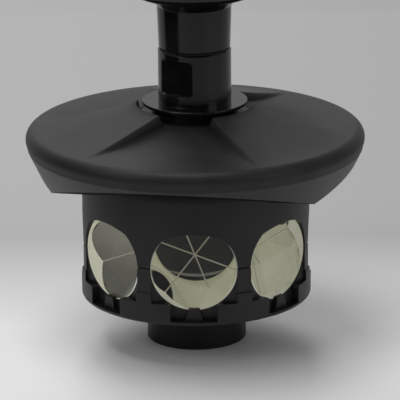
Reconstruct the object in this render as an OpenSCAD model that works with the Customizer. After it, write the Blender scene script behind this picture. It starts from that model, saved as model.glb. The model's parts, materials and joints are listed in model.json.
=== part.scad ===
// All-round surveying reflector: seven glass corner cubes in a two-part ring,
// under a three-lobed hood, on a 5/8 inch pole socket, with an adapter on top.
// Millimetres, +Z up, origin at the middle of the underside of the pole boss.

/* [Pole boss and tie rod] */
// Diameter of the boss that seats on the pole
boss_d = 30; // [26:0.5:36]
// Height of the boss below the prism ring
boss_h = 14.2; // [12:0.1:20]
// Tapping diameter of the 5/8 inch pole socket
socket_d = 13.5; // [12:0.1:14.5]
// Depth of the pole socket
socket_depth = 16; // [12:0.5:17]
// Depth of the chamfer at the mouth of the pole socket
socket_lead = 1; // [0.6:0.1:1.5]
// Diameter of the spigot that centres the ring on the boss
spigot_d = 19; // [18:0.5:22]
// Diameter of the tie rod up the middle
rod_d = 12; // [10:0.5:13]
// Turning clearance of the rod in what it passes through
rod_clear = 0.1; // [0.05:0.05:0.2]

/* [Glass prisms] */
// Diameter of a prism's front face
glass_d = 26; // [24:0.5:26.5]
// Depth of the full cylinder behind the front face
glass_rim = 1; // [0.6:0.1:1.2]
// Width of the ground strip along each back edge
edge_bevel = 0.5; // [0.4:0.05:0.8]
// Turn of each prism's cube corner about its own axis, from the front prism round to the right
cube_turns = [-12.5, 24, -20, 20, -30, 30, -35.5];
// Turn of the whole prism ring about the upright axis
ring_turn = -1.3; // [-5:0.1:5]
// Fit of the glass in its pocket, on the radius
glass_clear = 0.05; // [0.02:0.01:0.1]
// Width of a cushion behind a prism
pad_d = 6.4; // [5:0.2:7]
// How far a cushion wraps over the prism's apex
pad_wrap = 2; // [1:0.1:2.5]
// Free depth between the core's flat and a prism's apex
pad_t = 3.2; // [2.4:0.1:3.8]

/* [Prism ring] */
// Width of the post between two windows, at the glass faces
post_w = 4.3; // [4.2:0.1:6]
// Depth of the ring in front of the glass faces
lip_t = 2.9; // [2.6:0.1:4.5]
// Thickness of the ring's floor under the glass
floor_t = 4; // [3.5:0.1:6]
// Depth of the ring's hollow below the glass
floor_sink = 0.5; // [0.3:0.1:1]
// Depth of the seat that carries the rim of the glass
seat_d = 3.2; // [2.4:0.1:3.6]
// Height of the window's ledge above the floor of the pocket
ledge_h = 2.5; // [2:0.1:4]
// Narrowing of the window against the glass, each side
window_in = 0.2; // [0.1:0.05:0.5]
// Width of the notch under a window
notch_w = 14; // [10:0.5:15]
// Thickness of the strip left under a notch
notch_floor = 1.2; // [0.8:0.1:2]
// Height of a notch above the floor of the pocket
notch_rise = 2.2; // [1.8:0.1:2.4]
// Width of the snap tab that holds a prism, at its top
tab_w = 3.3; // [2.5:0.1:4.5]
// Spread of the snap tab's foot, each side
tab_flare = 1; // [0.5:0.1:1.5]
// Thickness of the snap tab
tab_t = 1.5; // [1.2:0.1:2]
// How far the snap tab stands over the edge of the glass
tab_hold = 0.9; // [0.5:0.1:1.5]
// How far the brow over a window covers the glass
brow_cover = 1.7; // [1:0.1:3]
// Radius of the brow's shallow arch
brow_r = 22; // [18:0.5:30]
// Room between the glass and the deck over it
deck_gap = 0.8; // [0.5:0.1:2]
// Thickness of the deck over the prisms
deck_t = 3; // [2:0.1:5]
// Thickness of the ring's wall above the deck
ring_wall = 3; // [2:0.1:4]
// Break on the ring's outer edges
ring_break = 0.3; // [0.2:0.05:0.6]
// How far the band round the ring's foot stands out
band_out = 0.45; // [0.3:0.05:0.8]
// Height of the band round the ring's foot
band_h = 9.3; // [8.5:0.1:10.5]
// Round on the lower edge of the band
band_round = 1; // [0.6:0.1:1.5]

/* [Hood] */
// Overhang of the hood beyond the prism ring
hood_overhang = 16.7; // [15:0.1:22]
// Height of the skirt's feet above the deck of the ring
skirt_lift = 1.5; // [0.5:0.1:3]
// Height of the skirt from its feet to its rim
skirt_h = 10.7; // [9:0.1:12]
// Taper of the skirt from its rim down to its feet
skirt_taper = 5.1; // [3:0.1:6]
// Setback of the skirt's rim behind the cover's nose
skirt_inset = 0.6; // [0.4:0.1:2]
// Slope of the three sheared faces of the skirt
shear_angle = 18.8; // [15:0.2:20]
// Setback of a foot's tip from the skirt's lower edge
foot_setback = 3.9; // [1.5:0.1:5]
// Turn of the hood: direction of its first sheared face
hood_turn = -10; // [-20:0.2:0]
// Wall of the skirt and of its collar
skirt_wall = 2.2; // [1.8:0.1:3]
// Depth of the ring inside the skirt's collar
collar_depth = 7.5; // [6:0.1:8]
// Thickness of the collar's shoulder on the ring
shoulder_t = 1.6; // [1:0.1:2]
// Width of the collar's shoulder on the ring
shoulder_w = 3; // [2:0.1:4]
// Fit of the ring in the skirt's collar, on the radius
collar_clear = 0.1; // [0.05:0.05:0.3]
// Thickness of the gasket under the cover
gasket_t = 0.8; // [0.6:0.1:1.4]
// Width of the gasket
gasket_w = 2.4; // [2:0.1:3]
// Setback of the gasket from the outside of the skirt
gasket_inset = 0.7; // [0.5:0.1:1.2]
// Radius of the cover's rounded nose
nose_r = 3.2; // [2.6:0.1:4]
// Height of the open seam between skirt and cover
seam_h = 0.1; // [0.05:0.05:0.5]
// Rise of the cover from its rim to its hub
cover_rise = 3.9; // [3:0.1:8]
// Wall of the cover
cover_wall = 2.5; // [2:0.1:3.5]
// Rise of a petal above the hub
petal_rise = 3.5; // [2:0.1:4]
// Setback of a petal's outer end from the cover's nose
petal_setback = 9; // [6:0.5:14]
// Half width that a petal would have at the axis
petal_w = 4.4; // [3:0.1:6]
// Spread of a petal's straight sides
petal_spread = 22.9; // [18:0.1:26]
// Free width between the flange and the petals
moat_w = 1.5; // [1:0.1:3]

/* [Hood screws] */
// Shank diameter of a hood screw
screw_d = 2.5; // [2:0.1:3]
// Head diameter of a hood screw
head_d = 4; // [3.5:0.1:4.4]
// Head height of a hood screw
head_h = 1.6; // [1.2:0.1:2]
// Clearance round a screw, on the radius
screw_clear = 0.2; // [0.1:0.05:0.3]
// Wall round a screw in its pillar
pillar_wall = 1.9; // [1.5:0.1:2.2]
// Depth of a head below the foot
head_sink = 0.3; // [0.1:0.1:0.6]
// Length of a screw's shank
screw_len = 9; // [7:0.5:10]

/* [Neck] */
// Outside diameter of the clamping sleeve
sleeve_d = 20; // [18:0.5:24]
// Thickness of the spring washer on the hub
washer_t = 0.6; // [0.4:0.1:1]
// Diameter of the collar under the flange
collar_d = 26; // [24:0.5:28]
// Height of the collar under the flange
collar_h = 2.9; // [2:0.1:6]
// Diameter of the polished flange
flange_d = 31.5; // [30:0.5:34]
// Thickness of the flange
flange_t = 1; // [0.8:0.1:2]
// Diameter of the neck
neck_d = 22; // [20:0.5:23]
// Height of the neck above the flange
neck_h = 16.1; // [14:0.1:20]
// Distance across the two spanner flats
flats = 19; // [18.5:0.1:19.4]
// Height of a spanner flat
flat_h = 10.8; // [8:0.1:12]
// Height of the flats' lower edge above the flange
flat_lift = 3.2; // [0.5:0.1:4]
// Corner radius of a spanner flat
flat_corner = 2; // [0.8:0.1:2.5]
// How far the cutter runs past the edges of a flat
flat_over = 0.3; // [0.2:0.05:0.6]
// Direction of the first spanner flat
flat_turn = -33; // [-60:1:0]
// Depth of rod inside the neck
rod_grip = 15; // [12:0.5:16]

/* [Adapter] */
// Diameter of the 5/8 inch studs
stud_d = 15.88; // [14:0.01:16]
// Height of a stud
stud_h = 10; // [8:0.5:12]
// Running clearance of the adapter on its stud, on the radius
stud_clear = 0.1; // [0.05:0.01:0.1]
// Thickness of the seal between neck and adapter
seal_t = 0.4; // [0.3:0.1:0.8]
// Diameter of the adapter at the seal
post_d = 21.5; // [20:0.1:23]
// Diameter of the adapter under its flare
post_top_d = 22.4; // [21:0.1:25]
// Height of the adapter's post
post_h = 12.9; // [12:0.1:18]
// Height of the flare under the disc
flare_h = 3.5; // [3:0.1:6]
// Diameter of the flare at the disc
flare_top_d = 28; // [26:0.5:32]
// Diameter of the seat disc
disc_d = 40; // [36:0.5:46]
// Thickness of the seat disc
disc_t = 6.5; // [5:0.1:8]
// Round on the lower edge of the seat disc
disc_round = 3; // [1:0.1:3.5]
// Height of the stud on the seat disc
top_stud_h = 14; // [10:0.5:16]
// Break on machined edges
edge_break = 0.4; // [0.2:0.05:0.8]

/* [Hidden] */
$fn = 96;
prism_count = 7;
lobes = 3;
eps = 0.02;
big = 200;
pocket_over = 0.2;
// A round cut starts its surface here, away from the half of the ring that it cuts
seam_up = 90;
seam_down = -90;
pillar_overlap = 0.6;
prism_step = 360 / prism_count;

// Plan sizes, worked outwards from the glass
glass_r = glass_d / 2;
pocket_r = glass_r + glass_clear;
face_r = (glass_r + post_w / 2) / tan(180 / prism_count);
glass_depth = glass_r * sqrt(2) + glass_rim;
apex_r = face_r - glass_depth;
core_flat_r = apex_r - pad_t;
hollow_flat_r = face_r - seat_d;
ring_r = face_r + lip_t;
hood_r = ring_r + hood_overhang;
skirt_r = hood_r - skirt_inset;
skirt_low_r = skirt_r - skirt_taper;
shear_start = (skirt_low_r - foot_setback) * cos(180 / lobes);
collar_r = ring_r + collar_clear;
collar_out_r = collar_r + skirt_wall;
gasket_r = skirt_r - gasket_inset;
pillar_r = screw_d / 2 + screw_clear + pillar_wall;
screw_ring_r = collar_out_r + pillar_r - pillar_overlap;
cover_pillar_r = pillar_r - pillar_overlap - collar_clear;
rod_hole_r = rod_d / 2 + rod_clear;
petal_in_r = flange_d / 2 + moat_w;
petal_out_r = hood_r - petal_setback;
stud_r = stud_d / 2;
disc_fillet = min(disc_round, disc_t / 2 - edge_break / 2);

// Levels, stacked upwards from the pole boss
floor_z = boss_h + floor_t;
prism_z = floor_z + glass_r;
deck_z = prism_z + glass_r + deck_gap;
deck_top = deck_z + deck_t;
skirt_z = deck_top + skirt_lift;
ring_top = skirt_z + collar_depth;
skirt_top = skirt_z + skirt_h;
seat_z = skirt_top + gasket_t;
rim_z = skirt_top + nose_r - gasket_t / 2;
rim_top = rim_z + nose_r;
hub_z = rim_top + cover_rise;
hub_under = hub_z - cover_wall;
collar_z = hub_z + washer_t;
flange_z = collar_z + collar_h;
neck_z = flange_z + flange_t;
neck_top = neck_z + neck_h;
rod_top = collar_z + rod_grip;
adapter_z = neck_top + seal_t;
flare_z = adapter_z + post_h;
disc_z = flare_z + flare_h;
disc_top = disc_z + disc_t;
screw_z = skirt_z + head_sink;
screw_split = screw_z + head_h + skirt_wall;

PRISMS = [for (i = [1:prism_count]) str("prism_", i)];
PADS = [for (i = [1:prism_count]) str("cushion_", i)];

// Turns a shape drawn towards +Z so that it looks out of window i (0 is the front)
module at_window(i)
    rotate([0, 0, ring_turn + i * prism_step]) translate([0, 0, prism_z]) rotate([90, 0, 0]) children();

// Repeats a shape at every window
module each_window()
    for (i = [0:prism_count - 1]) at_window(i) children();

// Repeats a shape, drawn towards -Y, at each lobe of the hood
module each_lobe(turn)
    for (i = [0:lobes - 1]) rotate([0, 0, turn + i * 360 / lobes]) children();

// A plain cylinder that stands between two levels
module post(r, z0, z1)
    translate([0, 0, z0]) cylinder(r = r, h = z1 - z0);

// Corner of a cube with its diagonal on +Z and its apex at the origin, its three
// back edges ground to narrow flat strips
module cube_corner(size, turn) {
    diagonal_lean = atan(sqrt(2));
    strip_lean = atan(1 / sqrt(2));
    first_edge = 60;
    rotate([0, 0, turn + first_edge]) difference() {
        rotate([0, -diagonal_lean, 0]) rotate([0, 0, -45]) cube(size);
        for (k = [0:2])
            rotate([0, 0, first_edge + 120 * k]) rotate([0, -strip_lean, 0])
                translate([-size, -size, edge_bevel / 2 - 2 * size]) cube(2 * size);
    }
}

// One glass corner cube, its front face on Z = face_r
module prism_body(i)
    intersection() {
        translate([0, 0, apex_r]) cube_corner(glass_depth * 2, cube_turns[i]);
        cylinder(r = glass_r, h = face_r);
    }

module prism(i)
    color([0.78, 0.79, 0.68]) at_window(i) prism_body(i);

module cushion(i)
    color([0.16, 0.16, 0.16]) at_window(i) difference() {
        translate([0, 0, core_flat_r]) cylinder(d = pad_d, h = pad_t + pad_wrap);
        prism_body(i);
    }

// Spindle: pole boss, centring spigot and tie rod in one turned piece
module spindle()
    color([0.07, 0.07, 0.07]) difference() {
        rotate_extrude() polygon([
            [0, 0], [boss_d / 2 - edge_break, 0], [boss_d / 2, edge_break], [boss_d / 2, boss_h],
            [spigot_d / 2, boss_h], [spigot_d / 2, floor_z], [rod_d / 2, floor_z],
            [rod_d / 2, rod_top - edge_break], [rod_d / 2 - edge_break, rod_top], [0, rod_top]
        ]);
        post(socket_d / 2, -1, socket_depth);
        translate([0, 0, -eps]) cylinder(r1 = socket_d / 2 + socket_lead, r2 = socket_d / 2, h = socket_lead);
    }

// Pocket for the rim of the glass, from the hollow to the front face
module glass_pocket(seam)
    translate([0, 0, hollow_flat_r - pocket_over]) rotate([0, 0, seam])
        cylinder(r = pocket_r, h = seat_d + pocket_over);

// Seven-sided bar with one flat behind each window
module seven_sided(flat_r, z0, z1)
    rotate([0, 0, ring_turn - 90 + prism_step / 2]) translate([0, 0, z0])
        cylinder(r = flat_r / cos(prism_step / 2), h = z1 - z0, $fn = prism_count);

// Opening of a window below the middle of the glass, out of the ring
module lower_window() {
    side = glass_r - window_in;
    translate([0, 0, face_r - eps]) {
        rotate([0, 0, seam_up]) cylinder(r = glass_r - window_in / 2, h = 2 * lip_t);
        translate([-side, ledge_h - glass_r, 0]) cube([2 * side, glass_r, 2 * lip_t]);
    }
}

// Opening of a window above the middle of the glass, with its arched brow
module upper_window()
    translate([0, 0, face_r - eps]) intersection() {
        rotate([0, 0, seam_down]) cylinder(r = glass_r - window_in / 2, h = 2 * lip_t);
        translate([0, glass_r - brow_cover - brow_r, 0]) rotate([0, 0, seam_down])
            cylinder(r = brow_r, h = 2 * lip_t);
    }

// Snap tab in front of the lower edge of the glass
module snap_tab() {
    top = -glass_r + tab_hold;
    foot = notch_floor - floor_t - glass_r - eps;
    translate([0, 0, face_r]) linear_extrude(tab_t) polygon([
        [-tab_w / 2 - tab_flare, foot], [tab_w / 2 + tab_flare, foot], [tab_w / 2, top], [-tab_w / 2, top]
    ]);
}

// Notch under a window, open to the outside
module notch()
    translate([-notch_w / 2, notch_floor - floor_t - glass_r, face_r]) cube([notch_w, floor_t - notch_floor + notch_rise, 2 * lip_t]);

// Section of the lower ring, with the band round its foot
module lower_section() {
    band_r = ring_r + band_out;
    translate([band_r - band_round, boss_h + band_round]) circle(r = band_round);
    polygon([
        [spigot_d / 2 + rod_clear, boss_h], [band_r - band_round, boss_h],
        [band_r - band_round, boss_h + band_round], [band_r, boss_h + band_round],
        [band_r, boss_h + band_h], [ring_r, boss_h + band_h + band_out],
        [ring_r, prism_z - ring_break], [ring_r - ring_break, prism_z],
        [spigot_d / 2 + rod_clear, prism_z]
    ]);
}

module lower_ring()
    color([0.15, 0.15, 0.15]) {
        difference() {
            rotate_extrude() lower_section();
            seven_sided(hollow_flat_r, floor_z - floor_sink, prism_z + 1);
            each_window() glass_pocket(seam_up);
            each_window() lower_window();
            each_window() notch();
        }
        each_window() snap_tab();
    }

module upper_ring()
    color([0.16, 0.16, 0.16]) difference() {
        rotate_extrude() polygon([
            [rod_hole_r, prism_z], [ring_r - ring_break, prism_z], [ring_r, prism_z + ring_break],
            [ring_r, ring_top], [ring_r - ring_wall, ring_top], [ring_r - ring_wall, deck_top],
            [rod_hole_r, deck_top]
        ]);
        seven_sided(hollow_flat_r, prism_z - 1, deck_z);
        each_window() glass_pocket(seam_down);
        each_window() upper_window();
    }

// Seven-sided core whose flats carry the cushions
module core()
    color([0.55, 0.56, 0.58]) difference() {
        seven_sided(core_flat_r, floor_z, deck_z);
        post(rod_hole_r, floor_z - 1, deck_z + 1);
    }

// Space below one sheared face, moved inwards by a wall
module shear_cut(wall)
    translate([0, -shear_start, skirt_z]) rotate([-shear_angle, 0, 0])
        translate([-big / 2, -big, -big + wall]) cube([big, 2 * big, big]);

// Full shape of the skirt, or its hollow one wall inside
module skirt_form(wall)
    difference() {
        translate([0, 0, skirt_z + wall])
            cylinder(r1 = skirt_low_r - wall, r2 = skirt_r - wall, h = skirt_h);
        each_lobe(hood_turn) shear_cut(wall);
    }

// Places a shape at each hood screw
module each_screw()
    each_lobe(hood_turn + 180 / lobes) translate([0, -screw_ring_r, 0]) children();

module skirt()
    color([0.20, 0.20, 0.20]) difference() {
        intersection() {
            skirt_form(0);
            post(hood_r, skirt_z, skirt_top);
        }
        difference() {
            skirt_form(skirt_wall);
            post(collar_out_r, skirt_z, ring_top + shoulder_t);
            each_screw() post(pillar_r, skirt_z, screw_split);
        }
        post(collar_r, skirt_z - 1, ring_top);
        post(ring_r - shoulder_w, ring_top - 1, skirt_top + 1);
        each_screw() post(head_d / 2 + screw_clear, skirt_z - 1, screw_z + head_h);
        each_screw() post(screw_d / 2 + screw_clear, skirt_z - 1, skirt_top);
    }

module gasket()
    color([0.05, 0.05, 0.05]) difference() {
        post(gasket_r, skirt_top, seat_z);
        post(gasket_r - gasket_w, skirt_top - 1, seat_z + 1);
    }

// Section of the cover without its petals
module cover_section() {
    nose_x = hood_r - nose_r;
    gasket_in = gasket_r - gasket_w - cover_wall / 2;
    difference() {
        union() {
            translate([nose_x, rim_z]) circle(r = nose_r);
            polygon([
                [rod_hole_r, hub_z], [petal_in_r, hub_z], [nose_x, rim_top], [nose_x, seat_z],
                [gasket_in, seat_z], [gasket_in, rim_top - cover_wall], [petal_in_r, hub_under],
                [rod_hole_r, hub_under]
            ]);
        }
        translate([0, skirt_top + seam_h - big]) square([big, big]);
        translate([0, seat_z - big]) square([gasket_r + seam_h, big]);
    }
}

// Section of a petal, from the hub down to the cover's slope
module petal_section()
    polygon([
        [petal_in_r, hub_under], [petal_in_r, hub_z + petal_rise],
        [petal_out_r, hub_z - (hub_z - rim_top) * (petal_out_r - petal_in_r) / (hood_r - nose_r - petal_in_r)],
        [petal_out_r, rim_top - cover_wall / 2]
    ]);

// Plan of one petal, towards -Y
module petal_plan() {
    reach = hood_r;
    wide = petal_w + reach * tan(petal_spread);
    polygon([[-petal_w, 0], [petal_w, 0], [wide, -reach], [-wide, -reach]]);
}

module cover()
    color([0.24, 0.24, 0.24]) difference() {
        union() {
            rotate_extrude() cover_section();
            intersection() {
                rotate_extrude() petal_section();
                each_lobe(hood_turn + 180 / lobes)
                    translate([0, 0, skirt_z]) linear_extrude(big) petal_plan();
            }
            each_screw() post(cover_pillar_r, screw_split, rim_top - cover_wall / 2);
        }
        each_screw() post(screw_d / 2, screw_split - 1, screw_z + head_h + screw_len);
    }

module hood_screws()
    color([0.45, 0.45, 0.46]) each_screw() difference() {
        union() {
            post(head_d / 2, screw_z, screw_z + head_h);
            post(screw_d / 2, screw_z, screw_z + head_h + screw_len);
        }
        translate([0, 0, screw_z - eps]) cylinder(d = head_d / 2, h = head_h / 2, $fn = 6);
    }

// Sleeve that carries the clamping load from the cover's hub to the deck
module sleeve()
    color([0.60, 0.60, 0.62]) difference() {
        post(sleeve_d / 2, deck_top, hub_under);
        post(rod_hole_r, deck_top - 1, hub_under + 1);
    }

module washer()
    color([0.62, 0.62, 0.63]) difference() {
        post(collar_d / 2 - edge_break, hub_z, collar_z);
        post(rod_hole_r, hub_z - 1, collar_z + 1);
    }

// Plan of a spanner flat, as seen from its side
module flat_face() {
    half_w = sqrt(pow(neck_d / 2, 2) - pow(flats / 2, 2)) + flat_over;
    translate([-half_w, flat_corner]) square([2 * half_w, flat_h - 2 * flat_corner]);
    translate([flat_corner - half_w, 0]) square([2 * half_w - 2 * flat_corner, flat_h]);
    for (x = [flat_corner - half_w, half_w - flat_corner])
        for (y = [flat_corner, flat_h - flat_corner])
            translate([x, y]) circle(r = flat_corner);
}

module neck()
    color([0.05, 0.05, 0.05]) difference() {
        rotate_extrude() polygon([
            [0, collar_z], [collar_d / 2, collar_z], [collar_d / 2, flange_z], [flange_d / 2, flange_z],
            [flange_d / 2, neck_z], [neck_d / 2, neck_z], [neck_d / 2, neck_top - edge_break],
            [neck_d / 2 - edge_break, neck_top], [stud_r, neck_top], [stud_r, neck_top + stud_h - edge_break],
            [stud_r - edge_break, neck_top + stud_h], [0, neck_top + stud_h]
        ]);
        post(rod_hole_r, collar_z - 1, rod_top + edge_break);
        for (side = [0, 180]) rotate([0, 0, flat_turn + side])
            translate([0, -flats / 2, neck_z + flat_lift]) rotate([90, 0, 0]) linear_extrude(neck_d) flat_face();
    }

module seal()
    color([0.03, 0.03, 0.03]) difference() {
        post(post_d / 2 - edge_break, neck_top, adapter_z);
        post(stud_r + stud_clear, neck_top - 1, adapter_z + 1);
    }

// Section of the adapter, with the round under its seat disc
module adapter_section() {
    round_r = disc_d / 2 - disc_fillet;
    translate([round_r, disc_z + disc_fillet]) circle(r = disc_fillet);
    polygon([
        [0, adapter_z], [post_d / 2 - edge_break, adapter_z], [post_d / 2, adapter_z + edge_break],
        [post_top_d / 2, flare_z], [flare_top_d / 2, disc_z], [round_r, disc_z], [round_r, disc_z + disc_fillet],
        [disc_d / 2, disc_z + disc_fillet], [disc_d / 2, disc_top - edge_break],
        [disc_d / 2 - edge_break, disc_top], [stud_r, disc_top],
        [stud_r, disc_top + top_stud_h - edge_break], [stud_r - edge_break, disc_top + top_stud_h],
        [0, disc_top + top_stud_h]
    ]);
}

module adapter()
    color([0.06, 0.06, 0.06]) difference() {
        rotate_extrude() adapter_section();
        post(stud_r + stud_clear, adapter_z - 1, neck_top + stud_h + edge_break);
    }

spindle();
lower_ring();
upper_ring();
core();
for (i = [0:prism_count - 1])
    prism(i);
for (i = [0:prism_count - 1])
    cushion(i);
skirt();
gasket();
cover();
hood_screws();
sleeve();
washer();
neck();
seal();
adapter();
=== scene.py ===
# %% [markdown]
# # A surveying reflector with seven corner cubes
# The object looks out all round with a ring of glass corner cubes. A hood shades them, a boss under the
# ring screws on a pole, and a metal neck carries an adapter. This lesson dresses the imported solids: some
# keep their own mesh and get a finish, others are worked out again as finer surfaces.

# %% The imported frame
import json
import math

import bpy
import numpy as np
from mathutils import Matrix, Vector


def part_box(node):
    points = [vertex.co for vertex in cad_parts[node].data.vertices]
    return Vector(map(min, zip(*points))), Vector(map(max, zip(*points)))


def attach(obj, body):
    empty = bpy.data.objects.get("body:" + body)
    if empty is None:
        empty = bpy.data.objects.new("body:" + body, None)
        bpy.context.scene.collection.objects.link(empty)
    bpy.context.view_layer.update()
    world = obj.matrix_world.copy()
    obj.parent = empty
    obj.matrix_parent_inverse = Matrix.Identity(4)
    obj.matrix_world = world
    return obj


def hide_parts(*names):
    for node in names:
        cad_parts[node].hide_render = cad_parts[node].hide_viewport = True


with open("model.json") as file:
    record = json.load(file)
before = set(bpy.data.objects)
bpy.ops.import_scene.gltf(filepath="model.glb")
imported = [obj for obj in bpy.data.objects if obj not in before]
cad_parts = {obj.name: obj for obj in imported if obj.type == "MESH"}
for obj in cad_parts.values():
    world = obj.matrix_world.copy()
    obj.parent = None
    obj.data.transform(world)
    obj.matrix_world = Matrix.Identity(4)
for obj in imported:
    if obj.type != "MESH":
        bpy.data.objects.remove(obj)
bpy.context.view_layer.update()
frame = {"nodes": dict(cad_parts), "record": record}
nodes = frame["nodes"]
MM = 0.001

# %% [markdown]
# ## Camera
# The photograph looks as if it was taken from far away with a long lens, a little above the hood. A camera
# could be pushed about by hand until the outlines match. A pinhole model fitted to the outlines of boss,
# ring, hood and neck is surer, and it gives the place and the angles below.

# %% The camera at the photograph's viewing angle
IMAGE_SIDE = 400
FOCAL_PIXELS = 4000.0
SENSOR_MM = 36.0
CAMERA_BACK = 1157.8 * MM
CAMERA_HEIGHT = 395.8 * MM
CAMERA_YAW = math.radians(0.064)
CAMERA_PITCH = math.radians(16.952)
CAMERA_ROLL = math.radians(-0.476)


def camera_matrix():
    """Columns are the camera's right, up and backward directions, turned by yaw, pitch and then roll."""
    yaw, pitch, roll = CAMERA_YAW, CAMERA_PITCH, CAMERA_ROLL
    ahead = Vector((math.sin(yaw) * math.cos(pitch), math.cos(yaw) * math.cos(pitch), -math.sin(pitch)))
    right = Vector((math.cos(yaw), -math.sin(yaw), 0.0))
    up = right.cross(ahead)
    rolled_right = math.cos(roll) * right + math.sin(roll) * up
    rolled_up = math.cos(roll) * up - math.sin(roll) * right
    turn = Matrix((rolled_right, rolled_up, -ahead)).transposed().to_4x4()
    return Matrix.Translation((0.0, -CAMERA_BACK, CAMERA_HEIGHT)) @ turn


camera_data = bpy.data.cameras.new("camera")
camera_data.sensor_width = SENSOR_MM
camera_data.lens = SENSOR_MM * FOCAL_PIXELS / IMAGE_SIDE
camera_data.clip_start = 0.01
camera = bpy.data.objects.new("camera", camera_data)
camera.matrix_world = camera_matrix()
bpy.context.scene.collection.objects.link(camera)
bpy.context.scene.camera = camera
print("lens", camera_data.lens, "mm")

# %% [markdown]
# ## Meshes from arrays
# Every new surface here is a grid of points. Points could be added one at a time, but whole arrays are
# shorter and much faster. One helper turns a grid into a mesh: rows and columns give the quads, and the
# last column joins the first.

# %% Grid to mesh
SHARP_ANGLE = math.radians(32)


def add_object(name, points, faces, smooth=True):
    """Makes a mesh object at the origin from an array of points and a list of faces."""
    mesh = bpy.data.meshes.new(name)
    mesh.from_pydata(np.asarray(points).tolist(), [], faces)
    mesh.validate()
    if smooth:
        mesh.shade_smooth()
        mesh.set_sharp_from_angle(angle=SHARP_ANGLE)
    made = bpy.data.objects.new(name, mesh)
    bpy.context.scene.collection.objects.link(made)
    return made


def grid_faces(rows, columns):
    """Quads of a grid whose points run row by row and whose rows close on themselves."""
    across = np.arange(columns)
    first = (np.arange(rows - 1) * columns)[:, None]
    here = first + across
    beside = first + (across + 1) % columns
    quads = np.stack([here, beside, beside + columns, here + columns], axis=-1)
    return quads.reshape(-1, 4).tolist()


# %% [markdown]
# ## Finishes
# A real surface is never one flat tone: it has clouds, grain and marks of the tool. Pictures of such
# surfaces could be wrapped round the pieces. Here each finish is made of noise on Object coordinates, which
# needs no picture and gives the grain a real size in metres. The helpers below are shared by all finishes.

# %% Material helpers


def new_material(name):
    """An empty node material with its Principled shader."""
    material = bpy.data.materials.new(name)
    material.use_nodes = True
    tree = material.node_tree
    shader = tree.nodes["Principled BSDF"]
    print("material", name)
    return material, tree, shader


def add_node(tree, kind, **settings):
    """Adds a node and sets its properties by name, or its inputs where a name is an input's."""
    node = tree.nodes.new(kind)
    for key, value in settings.items():
        if hasattr(node, key):
            setattr(node, key, value)
        else:
            node.inputs[key.replace("_", " ").title()].default_value = value
    return node


def object_noise(tree, grain_mm, detail=2.0, roughness=0.5, stretch=(1.0, 1.0, 1.0)):
    """Noise on Object coordinates whose cells are about grain_mm across."""
    place = add_node(tree, "ShaderNodeTexCoord")
    mapping = add_node(tree, "ShaderNodeMapping")
    mapping.inputs["Scale"].default_value = stretch
    noise = add_node(
        tree, "ShaderNodeTexNoise", scale=1.0 / (grain_mm * MM), detail=detail, roughness=roughness,
    )
    tree.links.new(place.outputs["Object"], mapping.inputs["Vector"])
    tree.links.new(mapping.outputs["Vector"], noise.inputs["Vector"])
    return noise.outputs["Fac"]


def spread(tree, value, low, high, from_low=0.3, from_high=0.7):
    """Maps a noise value from its usual span to low..high."""
    node = add_node(tree, "ShaderNodeMapRange")
    node.inputs["From Min"].default_value = from_low
    node.inputs["From Max"].default_value = from_high
    node.inputs["To Min"].default_value = low
    node.inputs["To Max"].default_value = high
    tree.links.new(value, node.inputs["Value"])
    return node.outputs["Result"]


def blend_colours(tree, value, dark, light):
    """Blends two colours by a value from 0 to 1."""
    ramp = add_node(tree, "ShaderNodeValToRGB")
    ramp.color_ramp.elements[0].color = (*dark, 1.0)
    ramp.color_ramp.elements[1].color = (*light, 1.0)
    tree.links.new(value, ramp.inputs["Fac"])
    return ramp.outputs["Color"]


def edge_and_grain(tree, shader, height, depth_mm, edge_mm):
    """Bump of a given depth over normals that are rounded at the sharp edges."""
    edge = add_node(tree, "ShaderNodeBevel", samples=6)
    edge.inputs["Radius"].default_value = edge_mm * MM
    bump = add_node(tree, "ShaderNodeBump")
    bump.inputs["Distance"].default_value = depth_mm * MM
    bump.inputs["Strength"].default_value = 0.6
    tree.links.new(height, bump.inputs["Height"])
    tree.links.new(edge.outputs["Normal"], bump.inputs["Normal"])
    tree.links.new(bump.outputs["Normal"], shader.inputs["Normal"])


# %% [markdown]
# ## Moulded plastic
# Ring and hood look moulded in black plastic with a fine, even grain. One colour and one gloss would do from
# afar, but near by the plastic would look like paper. So a slow cloud changes the tone a little, and a fine
# grain changes gloss and bump. Low corners are darker and duller in the photograph, so they get painted
# shade:
# each mesh may say how deep in a corner a point lies, and that share darkens the tone and dulls the gloss
# there.

# %% Moulded plastic
# Painted shade: corners darken towards this tone and dull towards this roughness.
PAINTED_SHADE_TONE = (0.002, 0.002, 0.002, 1.0)
CORNER_ROUGH = 0.95
CLOUD_MM = 9.0
PLASTIC_GRAIN_DEPTH = 0.03


def painted_shade_share(tree, shade_z):
    """Share of painted shade at a point, from 0 to 1: a ramp between two heights in metres, or else the
    mesh's own attribute named corner, which is 0 where a mesh has none."""
    if shade_z is None:
        return add_node(tree, "ShaderNodeAttribute", attribute_name="corner").outputs["Fac"]
    place = add_node(tree, "ShaderNodeTexCoord")
    apart = add_node(tree, "ShaderNodeSeparateXYZ")
    tree.links.new(place.outputs["Object"], apart.inputs[0])
    return spread(tree, apart.outputs["Z"], 0.0, 1.0, *shade_z)


def paint_shade_in_corners(tree, tone, corner):
    """Paints shade: darkens a colour by its share of a corner. A Mix node has its own sockets for each kind
    of
    value: for colours A and B are inputs 6 and 7, and the result is output 2."""
    mix = add_node(tree, "ShaderNodeMix", data_type="RGBA")
    tree.links.new(corner, mix.inputs["Factor"])
    tree.links.new(tone, mix.inputs[6])
    mix.inputs[7].default_value = PAINTED_SHADE_TONE
    return mix.outputs[2]


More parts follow.
